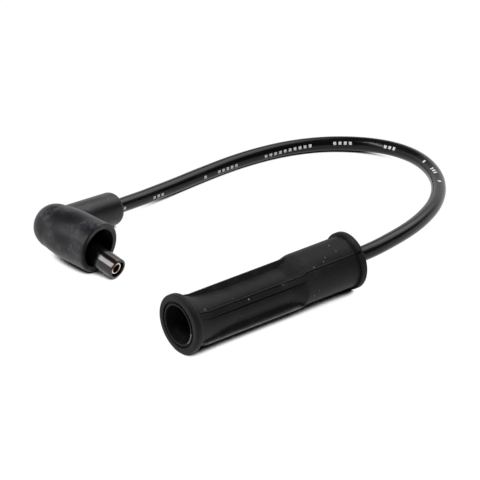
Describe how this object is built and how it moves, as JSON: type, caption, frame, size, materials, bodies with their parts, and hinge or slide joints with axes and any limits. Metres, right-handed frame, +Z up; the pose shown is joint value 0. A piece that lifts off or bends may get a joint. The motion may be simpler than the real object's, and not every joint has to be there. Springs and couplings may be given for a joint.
{
  "type": "spark plug wire",
  "caption": "Ignition cable with a straight ribbed spark plug boot at one end and a right-angled coil connector at the other.",
  "frame": {"origin": "centre of the footprint of the two ends, without the free cable, on the floor that they lie on", "axes": "+X from the plug boot's mouth to its cable end, +Y from the plug boot to the elbow, +Z up"},
  "size_m": [0.1998, 0.1404, 0.0272],
  "materials": {
    "plug_boot_rubber": "matt moulded rubber",
    "terminal_steel": "plain plated steel",
    "spring_steel": "bright spring wire",
    "elbow_boot_rubber": "satin moulded rubber with pale scuffs",
    "connector_plastic": "gloss black",
    "contact_copper": "dull reddish copper alloy",
    "pin_brass": "plain turned brass",
    "cable_jacket": "smooth satin silicone rubber"
  },
  "bodies": {
    "root": {"plug_boot": "plug_boot_rubber", "plug_terminal": "terminal_steel", "snap_ring": "spring_steel", "elbow_boot": "elbow_boot_rubber", "connector_body": "connector_plastic", "socket_contact": "contact_copper", "cable_pin": "pin_brass", "ignition_cable": "cable_jacket"}
  },
  "joints": []
}
